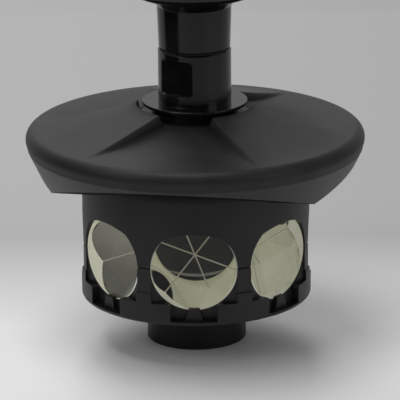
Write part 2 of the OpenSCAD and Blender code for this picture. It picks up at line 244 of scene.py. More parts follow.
def rougher_in_corners(tree, rough, corner):
    """Dulls a surface by its share of a corner. For plain numbers A and B of the Mix node are inputs 2 and
    3, and the result is output 0."""
    mix = add_node(tree, "ShaderNodeMix", data_type="FLOAT")
    tree.links.new(corner, mix.inputs[0])
    tree.links.new(rough, mix.inputs[2])
    mix.inputs[3].default_value = CORNER_ROUGH
    return mix.outputs[0]


def moulded_plastic(name, dark, light, rough, grain_mm, edge_mm, sheen, shade_z=None):
    """Moulded plastic: cloudy tone at hand scale, fine grain in bump and gloss."""
    material, tree, shader = new_material(name)
    cloud = object_noise(tree, CLOUD_MM, detail=4.0)
    grain = object_noise(tree, grain_mm, detail=3.0, roughness=0.6)
    tone = blend_colours(tree, spread(tree, cloud, 0.0, 1.0), dark, light)
    # corner is the share of painted shade, which darkens the tone and dulls the gloss.
    corner = painted_shade_share(tree, shade_z)
    tree.links.new(paint_shade_in_corners(tree, tone, corner), shader.inputs["Base Color"])
    plain = spread(tree, grain, rough - 0.05, rough + 0.07)
    tree.links.new(rougher_in_corners(tree, plain, corner), shader.inputs["Roughness"])
    shader.inputs["Specular IOR Level"].default_value = sheen
    edge_and_grain(tree, shader, grain, PLASTIC_GRAIN_DEPTH, edge_mm)
    return material


# %% [markdown]
# ## Metal and rubber
# Boss, neck and adapter look like turned aluminium that was anodised black. The lathe leaves fine rings, and
# rings could be drawn as a wave along the axis. Noise that is stretched sideways gives rings too, and they
# are uneven like real ones. The pieces inside get bare metal and matt rubber by the same means.

# %% Metal and rubber
RING_STRETCH = (0.02, 0.02, 1.0)
BARE_STRETCH = (0.03, 0.03, 1.0)


def anodised_metal(name, dark, light, rough, edge_mm, sheen):
    """Black anodised metal: fine rings left by turning, in bump and gloss."""
    material, tree, shader = new_material(name)
    turning = object_noise(tree, grain_mm=0.6, detail=3.0, stretch=RING_STRETCH)
    smudge = object_noise(tree, grain_mm=7.0, detail=5.0, roughness=0.6)
    tone = blend_colours(tree, spread(tree, smudge, 0.0, 1.0), dark, light)
    tree.links.new(tone, shader.inputs["Base Color"])
    tree.links.new(spread(tree, smudge, rough - 0.03, rough + 0.06), shader.inputs["Roughness"])
    shader.inputs["Specular IOR Level"].default_value = sheen
    edge_and_grain(tree, shader, turning, depth_mm=0.004, edge_mm=edge_mm)
    return material


def bare_metal(name, colour, rough):
    """Plain turned aluminium or steel."""
    material, tree, shader = new_material(name)
    turning = object_noise(tree, grain_mm=0.5, detail=3.0, stretch=BARE_STRETCH)
    shader.inputs["Base Color"].default_value = (*colour, 1.0)
    shader.inputs["Metallic"].default_value = 1.0
    tree.links.new(spread(tree, turning, rough - 0.06, rough + 0.08), shader.inputs["Roughness"])
    edge_and_grain(tree, shader, turning, depth_mm=0.006, edge_mm=0.15)
    return material


def rubber(name, dark, light):
    """Matt rubber with a soft mottle."""
    material, tree, shader = new_material(name)
    mottle = object_noise(tree, grain_mm=1.2, detail=4.0)
    tone = blend_colours(tree, spread(tree, mottle, 0.0, 1.0), dark, light)
    tree.links.new(tone, shader.inputs["Base Color"])
    tree.links.new(spread(tree, mottle, 0.75, 0.9), shader.inputs["Roughness"])
    edge_and_grain(tree, shader, mottle, depth_mm=0.05, edge_mm=0.1)
    return material


# %% [markdown]
# ## The finishes of this object
# The hood is a little lighter than the ring, and the skirt lighter still. The neck is glossier than the
# boss. The ring gets painted shade just under the skirt, where the photograph has a deep shade: the shadow
# of the skirt alone stays too light there. What lies inside is not seen, so its aluminium, steel and
# rubber are guesses.

# %% The finishes of this object
# Painted shade: the ring's plastic darkens between these two heights, just under the skirt.
PAINTED_SHADE_UNDER_SKIRT = (51.5 * MM, 54.5 * MM)
ring_plastic = moulded_plastic(
    "ring_plastic", (0.0108, 0.0108, 0.0111), (0.0150, 0.0150, 0.0153),
    rough=0.44, grain_mm=0.35, edge_mm=0.25, sheen=0.34, shade_z=PAINTED_SHADE_UNDER_SKIRT,
)
hood_plastic = moulded_plastic(
    "hood_plastic", (0.0140, 0.0143, 0.0146), (0.0192, 0.0195, 0.0198),
    rough=0.5, grain_mm=0.45, edge_mm=0.12, sheen=0.3,
)
skirt_plastic = moulded_plastic(
    "skirt_plastic", (0.0165, 0.0170, 0.0171), (0.0225, 0.0231, 0.0231),
    rough=0.40, grain_mm=0.45, edge_mm=0.12, sheen=0.38,
)
spindle_metal = anodised_metal(
    "spindle_metal", (0.005, 0.005, 0.005), (0.008, 0.008, 0.008), rough=0.4, edge_mm=0.2, sheen=0.25,
)
neck_metal = anodised_metal(
    "neck_metal", (0.004, 0.004, 0.004), (0.007, 0.007, 0.007), rough=0.14, edge_mm=0.2, sheen=0.45,
)
bare_aluminium = bare_metal("bare_aluminium", (0.60, 0.61, 0.63), rough=0.32)
screw_steel = bare_metal("screw_steel", (0.40, 0.40, 0.42), rough=0.35)
seal_rubber = rubber("seal_rubber", (0.006, 0.006, 0.006), (0.012, 0.012, 0.012))
cushion_rubber = rubber("cushion_rubber", (0.02, 0.02, 0.02), (0.035, 0.035, 0.035))

# %% [markdown]
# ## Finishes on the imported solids
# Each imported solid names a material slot. Every solid could be worked out again as a finer surface, but the
# ring, the skirt and the pieces inside look right as they are, so they keep their mesh and only get the
# finish of their slot. The skirt's slot is the hood's, and its own lighter plastic follows.

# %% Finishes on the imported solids
FINISH = {
    "ring_plastic": ring_plastic, "hood_plastic": hood_plastic, "spindle_metal": spindle_metal,
    "neck_metal": neck_metal, "bare_aluminium": bare_aluminium, "screw_steel": screw_steel,
    "seal_rubber": seal_rubber, "cushion_rubber": cushion_rubber,
}


def finish_solid(node, material):
    """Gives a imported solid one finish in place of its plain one."""
    nodes[node].data.materials.clear()
    nodes[node].data.materials.append(material)


for row in frame["record"]["subparts"]:
    if row["material_slot"] in FINISH:
        finish_solid(row["node"], FINISH[row["material_slot"]])
finish_solid("skirt", skirt_plastic)
print("slots with a finish", len(FINISH))

# %% [markdown]
# ## Undersides of brows and skirt
# In the photograph the undersides of the brows look glossy, as if the mould was polished there, and they
# mirror the glass. The sheared undersides of the skirt get painted shade: a dull, almost black finish. They
# could be cut off as pieces of their own. They are faces of the imported solids, though, so it is simpler to
# tell them apart by the way they face and give those faces a second finish.

# %% Undersides
BROW_R, BROW_Z = 30 * MM, 38 * MM
brow_plastic = moulded_plastic(
    "brow_plastic", (0.0095, 0.0095, 0.0098), (0.0135, 0.0135, 0.0138),
    rough=0.16, grain_mm=0.35, edge_mm=0.1, sheen=0.5,
)
# Painted shade: a dull, near black copy of the skirt's plastic for its faces that look down.
painted_shade_under_plastic = moulded_plastic(
    "painted_shade_under_plastic", (0.003, 0.003, 0.003), (0.005, 0.005, 0.005),
    rough=0.9, grain_mm=0.45, edge_mm=0.12, sheen=0.1,
)


def finish_downward(node, material, steepest, inner=0.0, lowest=0.0):
    """Gives a second finish to the faces of a solid that look down, outside a radius and above a height."""
    mesh = nodes[node].data
    mesh.materials.append(material)
    count = len(mesh.polygons)
    facing, middle = np.empty(count * 3), np.empty(count * 3)
    mesh.polygons.foreach_get("normal", facing)
    mesh.polygons.foreach_get("center", middle)
    facing, middle = facing.reshape(-1, 3), middle.reshape(-1, 3)
    outside = np.hypot(middle[:, 0], middle[:, 1]) > inner
    picked = (facing[:, 2] < steepest) & outside & (middle[:, 2] > lowest)
    mesh.polygons.foreach_set("material_index", picked.astype(np.int32))
    print(node, "faces with", material.name, int(picked.sum()))


finish_downward("upper_ring", brow_plastic, steepest=-0.6, inner=BROW_R, lowest=BROW_Z)
# The skirt's faces that look down get painted shade.
finish_downward("skirt", painted_shade_under_plastic, steepest=-0.8)

# %% [markdown]
# ## Turned metal with threads
# The spindle, neck and adapter are turned on a lathe, so each is a profile spun about the upright axis.
# The socket and both studs carry the 5/8 inch thread with 11 turns to the inch that surveying poles use.
# A thread could be a small profile swept along a helix. Here it is a wave in the radius that climbs one
# pitch a turn, which leaves one closed surface, and the same wave cut a little wider is the nut.

# %% Lathe and thread helpers
PITCH = 25.4 / 11 * MM
STUD_R = 7.94
THREAD_DEPTH = 1.2 * MM
THREAD_PLAY = 0.08 * MM
THREAD_CREST, THREAD_FLANK = 0.15, 0.7
EDGE_BREAK = 0.4


def profile_points(corners, counts):
    """Points along the straight lines between corners; each line is cut into its own count of steps."""
    corners = np.array(corners) * MM
    lines = [np.linspace(a, b, n, endpoint=False) for a, b, n in zip(corners, corners[1:], counts)]
    return np.concatenate(lines + [corners[-1:]])


def lathe(name, profile, columns, shape=None, centre=(0.0, 0.0)):
    """Radius and height along a profile, spun about an upright axis; shape may change the radius by
    height and angle. The profile starts and ends on the axis, where the surface closes in a pole."""
    around = np.linspace(0.0, 2 * math.pi, columns, endpoint=False)[None, :]
    radius, height, angle = np.broadcast_arrays(profile[1:-1, :1], profile[1:-1, 1:], around)
    if shape is not None:
        radius = shape(radius, height, angle)
    grid = np.stack([radius * np.cos(angle), radius * np.sin(angle), height], axis=-1).reshape(-1, 3)
    poles = np.array([[0.0, 0.0, profile[0, 1]], [0.0, 0.0, profile[-1, 1]]])
    points = np.concatenate([grid, poles]) + np.array([centre[0], centre[1], 0.0])
    faces = grid_faces(len(profile) - 2, columns)
    last = (len(profile) - 3) * columns
    low, high = len(grid), len(grid) + 1
    beside = np.roll(np.arange(columns), -1)
    faces += np.stack([np.full(columns, low), beside, np.arange(columns)], axis=1).tolist()
    faces += np.stack([last + np.arange(columns), last + beside, np.full(columns, high)], axis=1).tolist()
    return add_object(name, points, faces)


def at_radius(radius, wall):
    """True where the profile runs along a wall of this radius in millimetres."""
    return np.abs(radius - wall * MM) < 0.01 * MM


def thread_radius(height, angle, low=-1.0, high=1.0):
    """Radius of the stud's thread: a flat-topped wave along the helix, down to its root at the two ends,
    which by default lie far away."""
    phase = (height / PITCH - angle / (2 * math.pi)) % 1.0
    flank = np.clip((np.abs(phase - 0.5) * 2 - THREAD_CREST) / THREAD_FLANK, 0.0, 1.0)
    root = STUD_R * MM - THREAD_DEPTH
    lead = root + np.clip(np.minimum(height - low, high - height), 0.0, None)
    return np.minimum(STUD_R * MM - THREAD_DEPTH * flank, lead)


def dress(piece, node, material, body="root"):
    """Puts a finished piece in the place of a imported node."""
    piece.data.materials.append(material)
    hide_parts(node)
    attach(piece, body)
    print(piece.name, len(piece.data.polygons), "faces")


# %% [markdown]
# ## Spindle
# The spindle is taken to be one turned bar: a boss with the pole socket below, a spigot for the ring, and
# the tie rod that clamps the stack. Cylinders could be joined for it. One profile, walked from the blind end
# of the socket round to the top of the rod, has no seams and leaves the thread only one wall to be cut in.

# %% Spindle with the pole socket
SOCKET_R, SOCKET_MOUTH, SOCKET_END = 6.75, 1.0, 16.0
BOSS_R, BOSS_TOP = 15, 14.2
SPIGOT_R, SPIGOT_TOP = 9.5, 18.2
ROD_R, ROD_TOP = 6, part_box("spindle")[1].z / MM
GROOVE_START, GROOVE_LEAD, GROOVE_END = 0.6 * MM, 0.8 * MM, 15.5 * MM


def socket_shape(radius, height, angle):
    """Cuts the thread into the wall of the socket and leaves the rest of the profile as it is."""
    in_socket = at_radius(radius, SOCKET_R) & (height < GROOVE_END)
    groove = thread_radius(height, angle)
    fade = np.clip((height - GROOVE_START) / GROOVE_LEAD, 0.0, 1.0)
    return np.where(in_socket, np.maximum(radius, radius + (groove - radius) * fade), radius)


spindle_profile = profile_points(
    [(0, SOCKET_END), (SOCKET_R, SOCKET_END), (SOCKET_R, SOCKET_MOUTH), (SOCKET_R + SOCKET_MOUTH, 0),
     (BOSS_R - EDGE_BREAK, 0), (BOSS_R, EDGE_BREAK), (BOSS_R, BOSS_TOP), (SPIGOT_R, BOSS_TOP),
     (SPIGOT_R, SPIGOT_TOP), (ROD_R, SPIGOT_TOP), (ROD_R, ROD_TOP - EDGE_BREAK),
     (ROD_R - EDGE_BREAK, ROD_TOP), (0, ROD_TOP)],
    [1, 90, 1, 2, 1, 6, 1, 1, 1, 8, 1, 1],
)
turned_spindle = lathe("turned_spindle", spindle_profile, columns=128, shape=socket_shape)
dress(turned_spindle, "spindle", spindle_metal)

# %% [markdown]
# ## Neck
# The neck is turned with a collar, a thin polished flange and a stud, and two flats are then milled into it
# for a spanner. The flats could be cut with a boolean. A round cutter leaves round corners, so here the
# radius is pressed in to the flat inside a rounded oblong, and the surface stays one clean grid.

# %% Neck with its spanner flats
COLLAR_Z, FLANGE_Z, NECK_Z, NECK_TOP, STUD_TOP = 70.7, 73.6, 74.6, 90.7, 100.7
BORE_R, BORE_END = 6.1, 86.1
COLLAR_R, FLANGE_R, NECK_R = 13, 15.75, 11.0
FLANGE_LOW_EDGE, FLANGE_TOP_EDGE = 0.2, 0.1
FLATS = 19.0 * MM
FLAT_TURN = math.radians(-33.0)
FLAT_LOW, FLAT_HIGH, FLAT_CORNER = 77.8 * MM, 88.6 * MM, 2.0 * MM
FLAT_HALF = 5.85 * MM
FLAT_BORDER = 0.12 * MM
FLAT_ROWS = [(NECK_R, 77.6), (NECK_R, 78.0), (NECK_R, 88.4), (NECK_R, 88.8)]


def neck_shape(radius, height, angle):
    """Mills two flats inside a rounded oblong on the neck, and cuts the thread on the stud."""
    facing = angle + math.pi / 2 - FLAT_TURN
    folded = (facing + math.pi / 2) % math.pi - math.pi / 2
    across = np.abs(NECK_R * MM * np.sin(folded))
    half_high = (FLAT_HIGH - FLAT_LOW) / 2 - FLAT_CORNER
    half_wide = FLAT_HALF - FLAT_CORNER
    beyond_z = np.maximum(np.abs(height - (FLAT_LOW + FLAT_HIGH) / 2) - half_high, 0.0)
    beyond_x = np.maximum(across - half_wide, 0.0)
    inside = np.clip((FLAT_CORNER - np.hypot(beyond_x, beyond_z)) / FLAT_BORDER + 0.5, 0.0, 1.0)
    milled = np.minimum(radius, FLATS / 2 / np.maximum(np.cos(folded), 0.5))
    radius = np.where(at_radius(radius, NECK_R), radius + (milled - radius) * inside, radius)
    on_stud = (height > NECK_TOP * MM) & at_radius(radius, STUD_R)
    return np.where(on_stud, thread_radius(height, angle, NECK_TOP * MM, STUD_TOP * MM), radius)


neck_profile = profile_points(
    [(0, BORE_END), (BORE_R, BORE_END), (BORE_R, COLLAR_Z), (COLLAR_R, COLLAR_Z), (COLLAR_R, FLANGE_Z),
     (FLANGE_R - FLANGE_LOW_EDGE, FLANGE_Z), (FLANGE_R, FLANGE_Z + FLANGE_LOW_EDGE),
     (FLANGE_R, NECK_Z - FLANGE_TOP_EDGE), (FLANGE_R - FLANGE_TOP_EDGE, NECK_Z), (NECK_R, NECK_Z),
     *FLAT_ROWS, (NECK_R, NECK_TOP - EDGE_BREAK),
     (NECK_R - EDGE_BREAK, NECK_TOP), (STUD_R, NECK_TOP), (STUD_R, STUD_TOP), (0, STUD_TOP)],
    [1, 1, 1, 1, 1, 1, 1, 1, 3, 3, 8, 44, 8, 6, 1, 1, 60, 1],
)
turned_neck = lathe("turned_neck", neck_profile, columns=384, shape=neck_shape)
dress(turned_neck, "neck", neck_metal)

# %% [markdown]
# ## Adapter
# The adapter screws on the neck's stud and carries a stud of its own above a seat disc. The photograph ends
# at the disc, so the upper stud is a guess: the same thread again. It could be parented to the neck, but it
# moves, so it rides on the body that the screw joint turns and lifts.

# %% Adapter with its seat disc and stud
ADAPTER_Z, FLARE_Z, DISC_Z, DISC_TOP, TOP = 91.1, 104.0, 107.5, 114.0, 128.0
NUT_R, NUT_MOUTH_R, NUT_MOUTH, NUT_TOP = 8.04, 8.3, 0.2, 101.1
POST_R, POST_TOP_R, FLARE_R = 10.75, 11.2, 14
DISC_R, DISC_ROUND = 20.0, 3.0
STUD_RELIEF = 0.6


def adapter_shape(radius, height, angle):
    """Cuts the nut's thread in the bore, a little wider than the stud's, and the thread of the upper stud."""
    in_nut = at_radius(radius, NUT_R) & (height < NUT_TOP * MM)
    on_stud = at_radius(radius, STUD_R) & (height > DISC_TOP * MM)
    nut = thread_radius(height, angle) + THREAD_PLAY
    stud = thread_radius(height, angle, (DISC_TOP + STUD_RELIEF) * MM, TOP * MM)
    return np.where(in_nut, nut, np.where(on_stud, stud, radius))


round_turn = np.radians(np.linspace(0, 90, 13))
disc_round = np.stack(
    [DISC_R - DISC_ROUND * (1 - np.sin(round_turn)), DISC_Z + DISC_ROUND * (1 - np.cos(round_turn))], axis=1
).tolist()
adapter_profile = profile_points(
    [(0, NUT_TOP), (NUT_R, NUT_TOP), (NUT_R, ADAPTER_Z + NUT_MOUTH), (NUT_MOUTH_R, ADAPTER_Z),
     (POST_R - EDGE_BREAK, ADAPTER_Z), (POST_R, ADAPTER_Z + EDGE_BREAK), (POST_TOP_R, FLARE_Z),
     (FLARE_R, DISC_Z), *disc_round, (DISC_R, DISC_TOP - EDGE_BREAK), (DISC_R - EDGE_BREAK, DISC_TOP),
     (STUD_R, DISC_TOP), (STUD_R, TOP), (0, TOP)],
    [1, 60, 1, 1, 1, 6, 6, 2] + [1] * len(disc_round) + [1, 3, 84, 1],
)
turned_adapter = lathe("turned_adapter", adapter_profile, columns=160, shape=adapter_shape)
dress(turned_adapter, "adapter", neck_metal, "adapter")

# %% [markdown]
# ## Moulded cover
# The cover is one moulding: a low cone with a rounded nose and three raised petals round the hub. The petals
# could be blocks with a bevel. A mould has hardly a sharp edge, so here they rise over a soft border, and
# the whole upper side is one height over radius and direction, in millimetres.

# %% Heights of the cover
HUB_Z, HUB_UNDER, RIM_TOP, RIM_Z, NOSE_R = 70.1, 67.6, 66.2, 63.0, 3.2
HOOD_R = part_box("cover")[1].x / MM
NOSE_X = HOOD_R - NOSE_R
PETAL_IN, PETAL_OUT, PETAL_RISE = 17.25, HOOD_R - 5.5, 3.5
PETAL_EASE = 1.45
PETAL_W, PETAL_SPREAD = 4.4, math.radians(22.9)
HOOD_TURN = -10.0
PETAL_FIRST = math.radians(HOOD_TURN + 60.0)
PETAL_FOOT, PETAL_EDGE, PETAL_END = 0.5, 1.2, 0.5
PETAL_LEAD = 0.15
SECTOR_SAG, SAG_POWER = 0.8, 1.5
FILLET_H, FILLET_L = 0.2, 4.0


def smooth_step(value):
    """Rises from 0 to 1 with level ends."""
    t = np.clip(value, 0.0, 1.0)
    return t * t * (3 - 2 * t)


def cone_height(radius):
    """Height of the plain cover, in millimetres: a flat hub, then a straight fall to the rim."""
    return np.interp(radius, [0.0, PETAL_IN, NOSE_X], [HUB_Z, HUB_Z, RIM_TOP])


def petal_plan(radius, azimuth):
    """How far a point lies inside the nearest petal's border, a wedge in plan, and the petal's share of its
    full rise at that radius, which falls from 1 at the hub to 0 near the rim."""
    step = 2 * math.pi / 3
    turn = (azimuth - PETAL_FIRST + step / 2) % step - step / 2
    along, aside = radius * np.cos(turn), np.abs(radius * np.sin(turn))
    inside = (PETAL_W + along * math.tan(PETAL_SPREAD) - aside) * math.cos(PETAL_SPREAD)
    fall = np.clip((PETAL_OUT - radius) / (PETAL_OUT - PETAL_IN), 0.0, 1.0) ** PETAL_EASE
    return inside, fall


def cover_height(radius, azimuth):
    """Plain cover plus petals: each petal is a wedge in plan that falls from the hub to the cone, and the
    sectors between the petals sag a little below the cone."""
    inside, fall = petal_plan(radius, azimuth)
    side = smooth_step((inside + PETAL_FOOT) / (PETAL_FOOT + PETAL_EDGE))
    front = smooth_step((radius - PETAL_IN + PETAL_LEAD) / PETAL_END)
    share = np.clip((radius - PETAL_IN) / (NOSE_X - PETAL_IN), 0.0, 1.0)
    sag = SECTOR_SAG * np.sin(math.pi * share) ** SAG_POWER
    fillet = FILLET_H * np.sqrt(fall) * np.exp(-np.maximum(-inside, 0.0) / FILLET_L) * front
    return cone_height(radius) + PETAL_RISE * fall * side * front + (fillet - sag) * (1 - side)


print("petals start", PETAL_IN, "and end", round(PETAL_OUT, 2), "mm from the axis")

# %% [markdown]
# ## Painted shade in the cover's corners
# At the foot of the petals, round the hub and in the low sectors the cover is darker in the photograph than
# plain shadow makes it, so painted shade is added there. Dust could do that, but the cause is not known. A
# share of corner is worked out for every point of the surface, and the plastic's own finish reads it.

# %% Painted shade in the cover's corners
# Reaches and shares of the painted shade at the petals' feet, in the moat, in the sectors and round the hub.
FOOT_REACH, FOOT_GROWTH, FOOT_BORDER = 0.5, 11.0, 0.2
MOAT_SHARE, MOAT_REACH = 0.65, 8.0
VALLEY_SHARE, VALLEY_REACH = 0.55, 30.0
HUB_SHARE, HUB_REACH = 0.8, 1.5
SHADE_IN = PETAL_IN - 0.35


def corner_shade(radius, azimuth):
    """Share of painted shade, by how deep a point lies in a corner: at the foot of a petal 1, then falling
    off over a width that grows with the wall's height; less in the sectors between the petals and round the
    hub."""
    inside, fall = petal_plan(radius, azimuth)
    beyond_hub = np.maximum(radius - PETAL_IN, 0.0)
    reach = FOOT_REACH + FOOT_GROWTH * fall
    foot = np.exp(-np.maximum(-inside, 0.0) / reach) * np.sqrt(fall)
    outside = 1 - smooth_step((inside + FOOT_BORDER) / PETAL_EDGE)
    moat = MOAT_SHARE * np.exp(-beyond_hub / MOAT_REACH)
    valley = VALLEY_SHARE * smooth_step((PETAL_OUT - radius) / VALLEY_REACH)
    hub = HUB_SHARE * np.exp(-beyond_hub / HUB_REACH)
    shade = np.maximum(np.maximum(np.maximum(foot, moat), valley) * outside, hub)
    return np.where(radius > SHADE_IN, shade, 0.0)


# %% [markdown]
# ## Shell of the cover
# The nose and the underside of the cover are plain turned shapes, and the hole for the tie rod closes the
# shell. They could be meshes of their own. As further rows of the same grid they leave no seam at the rim.

# %% Shell of the cover
ROD_HOLE = 6.1
SKIRT_TOP, SEAT_Z, SEAM = 60.2, 61.0, 0.01
LIP_OUT, LIP_IN, WALL_IN, WALL_T = 50.45, 49.86, 46.1, 2.5
NOSE_FROM, NOSE_TO = 84, -20


def cover_surface(name, columns):
    """Closed shell of revolution whose upper rows follow cover_height; rows crowd where the petals start."""
    top_r = np.concatenate([
        np.linspace(ROD_HOLE, PETAL_IN - 0.4, 8), np.linspace(PETAL_IN - 0.3, PETAL_IN + 2.0, 16),
        np.linspace(PETAL_IN + 2.4, NOSE_X, 58),
    ])
    around = np.radians(np.linspace(NOSE_FROM, NOSE_TO, 16))
    nose = np.stack([NOSE_X + NOSE_R * np.cos(around), RIM_Z + NOSE_R * np.sin(around)], axis=1)
    under = np.array([
        (LIP_OUT, SKIRT_TOP + SEAM), (LIP_IN, SKIRT_TOP + SEAM), (LIP_IN, SEAT_Z), (WALL_IN, SEAT_Z),
        (WALL_IN, RIM_TOP - WALL_T), (PETAL_IN, HUB_UNDER), (ROD_HOLE, HUB_UNDER),
    ])
    plain = np.concatenate([nose, under])
    azimuth = np.linspace(0.0, 2 * math.pi, columns, endpoint=False)[None, :]
    radius = np.concatenate([top_r, plain[:, 0]])[:, None]
    low = np.broadcast_to(plain[:, 1:], (len(plain), columns))
    height = np.concatenate([cover_height(top_r[:, None], azimuth), low])
    x, y = radius * np.sin(azimuth), -radius * np.cos(azimuth)
    points = np.stack([x, y, height], axis=-1).reshape(-1, 3) * MM
    rows = len(height)
    faces = np.array(grid_faces(rows, columns))
    across = np.arange(columns)
    beside = (across + 1) % columns
    last = (rows - 1) * columns
    closing = np.stack([last + across, last + beside, beside, across], axis=1)
    faces = np.concatenate([faces, closing])[:, ::-1].tolist()
    made = add_object(name, points, faces)
    # The corner attribute carries the share of painted shade.
    share = np.concatenate([corner_shade(top_r[:, None], azimuth), np.zeros((len(plain), columns))])
    made.data.attributes.new("corner", "FLOAT", "POINT").data.foreach_set("value", share.ravel())
    return made


dress(cover_surface("moulded_cover", columns=720), "cover", hood_plastic)

# %% [markdown]
# ## Screw pillars
# Three hood screws come up through the skirt's feet into pillars under the cover, one below each petal. The
# pillars could be rows of the cover's grid, but they stand off its axis, so each is a small lathe part with
# the blind hole for its screw.

# %% Screw pillars under the cover
PILLAR_RING = 39.41 * MM
PILLAR_R, PILLAR_Z, PILLAR_TOP = 2.65, 53.6, RIM_TOP - 1.25
HOLE_R, HOLE_TOP = 1.25, 60.4
pillar_profile = profile_points(
    [(0, HOLE_TOP), (HOLE_R, HOLE_TOP), (HOLE_R, PILLAR_Z), (PILLAR_R, PILLAR_Z), (PILLAR_R, PILLAR_TOP),
     (0, PILLAR_TOP)],
    [1, 1, 1, 1, 1],
)
for k in range(3):
    azimuth = PETAL_FIRST + k * 2 * math.pi / 3
    centre = (PILLAR_RING * math.sin(azimuth), -PILLAR_RING * math.cos(azimuth))
    pillar = lathe(f"cover_pillar_{k + 1}", pillar_profile, columns=32, centre=centre)
    dress(pillar, "cover", hood_plastic)

# %% [markdown]
# ## Glass corner cubes
# A corner cube is a round glass rod whose back is cut to three faces at right angles. Light that enters
# the front meets all three silvered faces and goes back the way it came. The pattern could be painted on a
# disc, but it would not change with the view. So the glass is modelled as real optics: a polished front,
# mirrors behind, and ground strips where two faces meet.

# %% Glass finishes
# The index is fitted to the pattern in the windows; real optical glass bends light more.
GLASS_INDEX = 1.38
CHALK_DARK, CHALK_LIGHT, CHALK_LIT = (0.80, 0.80, 0.68), (0.90, 0.90, 0.75), (0.90, 0.90, 0.77)


def polished_glass():
    """Clear glass with a faint cast, for the front face."""
    material, tree, shader = new_material("polished_glass")
    shader.inputs["Base Color"].default_value = (0.985, 0.99, 0.97, 1.0)
    shader.inputs["Transmission Weight"].default_value = 1.0
    shader.inputs["IOR"].default_value = GLASS_INDEX
    haze = object_noise(tree, grain_mm=5.0, detail=3.0)
    tree.links.new(spread(tree, haze, 0.0, 0.012), shader.inputs["Roughness"])
    return material


def silvered_back():
    """Silver seen through the glass: a warm mirror with faint clouds."""
    material, tree, shader = new_material("silvered_back")
    cloud = object_noise(tree, grain_mm=4.0, detail=3.0)
    tree.links.new(
        blend_colours(tree, spread(tree, cloud, 0.0, 1.0), (0.94, 0.94, 0.88), (0.97, 0.97, 0.92)),
        shader.inputs["Base Color"],
    )
    shader.inputs["Metallic"].default_value = 1.0
    shader.inputs["Roughness"].default_value = 0.02
    return material


def ground_glass(name, dark, light, glow):
    """Ground glass: chalky and a little warm, with a faint glow of painted light that stands in for light
    leaking in round the ring.
    """
    material, tree, shader = new_material(name)
    grit = object_noise(tree, grain_mm=0.15, detail=3.0)
    tone = blend_colours(tree, spread(tree, grit, 0.0, 1.0), dark, light)
    tree.links.new(tone, shader.inputs["Base Color"])
    shader.inputs["Roughness"].default_value = 0.9
    shader.inputs["Emission Color"].default_value = (*light, 1.0)
    shader.inputs["Emission Strength"].default_value = glow
    return material


# The glows of the ground glass are painted light.
glass_finishes = [
    polished_glass(),
    silvered_back(),
    ground_glass("ground_side", CHALK_DARK, CHALK_LIGHT, glow=0.148),
    ground_glass("ground_edge", (0.43, 0.40, 0.32), (0.53, 0.505, 0.42), glow=0.12),
]
# Painted light: a stronger glow for the ground side of the cube in the left window.
lit_side = ground_glass("ground_side_lit", CHALK_DARK, CHALK_LIT, glow=0.25)
FRONT, BACK, SIDE, EDGE = range(len(glass_finishes))
print("glass index", GLASS_INDEX)

# %% [markdown]
# ## Back of a corner cube
# Three mirror planes at right angles meet in the apex. They could be cut from a rod with three booleans. The
# back is simply the highest of the planes at each place, though, so one formula gives it, and narrow strips
# at the edges come from three more planes in the same way.

# %% Back of a corner cube
PRISMS = 7
GLASS_R = 13.0 * MM
GLASS_RIM = 1.0 * MM
HALF_POST = 2.15 * MM
FACE_R = (GLASS_R + HALF_POST) / math.tan(math.pi / PRISMS)
GLASS_DEPTH = GLASS_R * math.sqrt(2) + GLASS_RIM
STRIP_W = 0.34 * MM
GLUE_FILM = 0.15 * MM
THIRD = 2 * math.pi / 3


def back_height(x, y, first_edge):
    """Height of the back above the apex: the highest of three mirror planes and three edge strips, lifted
    by a film of glue that is taken to lie between the glass and its cushion."""
    edge = first_edge + np.arange(3) * THIRD
    face = edge + THIRD / 2
    mirrors = math.sqrt(2) * (np.outer(x, np.cos(face)) + np.outer(y, np.sin(face)))
    along = np.outer(x, np.cos(edge)) + np.outer(y, np.sin(edge))
    strips = STRIP_W / 2 * math.sqrt(1.5) + along / math.sqrt(2)
    return np.maximum(mirrors.max(axis=1), strips.max(axis=1)) + GLUE_FILM


print("glass depth", round(GLASS_DEPTH / MM, 2), "mm")

# %% [markdown]
# ## One corner cube
# The glass has a flat front with a broken rim, a round side and the cut back. A solid rod could be kept and
# only its back replaced. Three rings of points and four inner ones make the whole surface, with faces that
# know whether they are polished, silvered or ground.

# %% One corner cube
RIM_BREAK = 0.4 * MM
ARC_POINTS = 40
prism_low, prism_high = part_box("prism_1")
PRISM_Z = 0.5 * (prism_low.z + prism_high.z)


